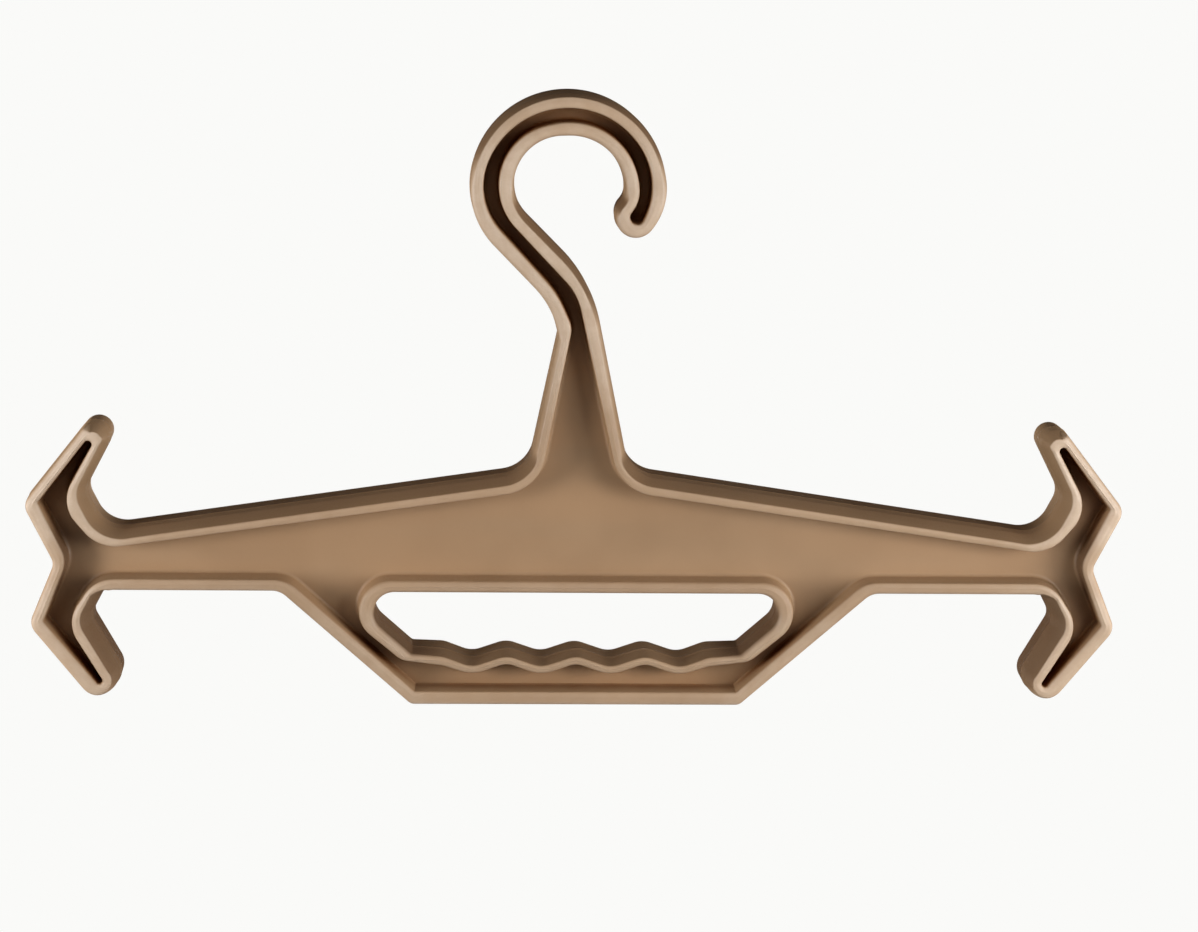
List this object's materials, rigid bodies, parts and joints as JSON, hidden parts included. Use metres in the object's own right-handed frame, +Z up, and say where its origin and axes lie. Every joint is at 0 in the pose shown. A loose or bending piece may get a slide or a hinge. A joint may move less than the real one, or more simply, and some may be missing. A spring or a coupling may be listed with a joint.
{
  "type": "gear hanger",
  "caption": "Heavy-duty moulded hanger with a round hook, sloping shoulders, strap horns at each end and a hand grip with finger scallops below.",
  "frame": {"origin": "crown of the hook's inner arc, at mid depth, where the rod carries the load", "axes": "+X to the right as the front is looked at, -Y out of the front, +Z up"},
  "size_m": [0.4314, 0.0254, 0.2431],
  "materials": {
    "moulded_nylon": "matte tan, as moulded, with a fine texture"
  },
  "bodies": {
    "root": {"hook_bow": "moulded_nylon", "hook_shank": "moulded_nylon", "neck": "moulded_nylon", "centre_panel": "moulded_nylon", "grip_bar": "moulded_nylon", "left_arm": "moulded_nylon", "right_arm": "moulded_nylon", "left_upper_horn": "moulded_nylon", "right_upper_horn": "moulded_nylon", "left_lower_horn": "moulded_nylon", "right_lower_horn": "moulded_nylon", "left_strut": "moulded_nylon", "right_strut": "moulded_nylon"}
  },
  "joints": []
}
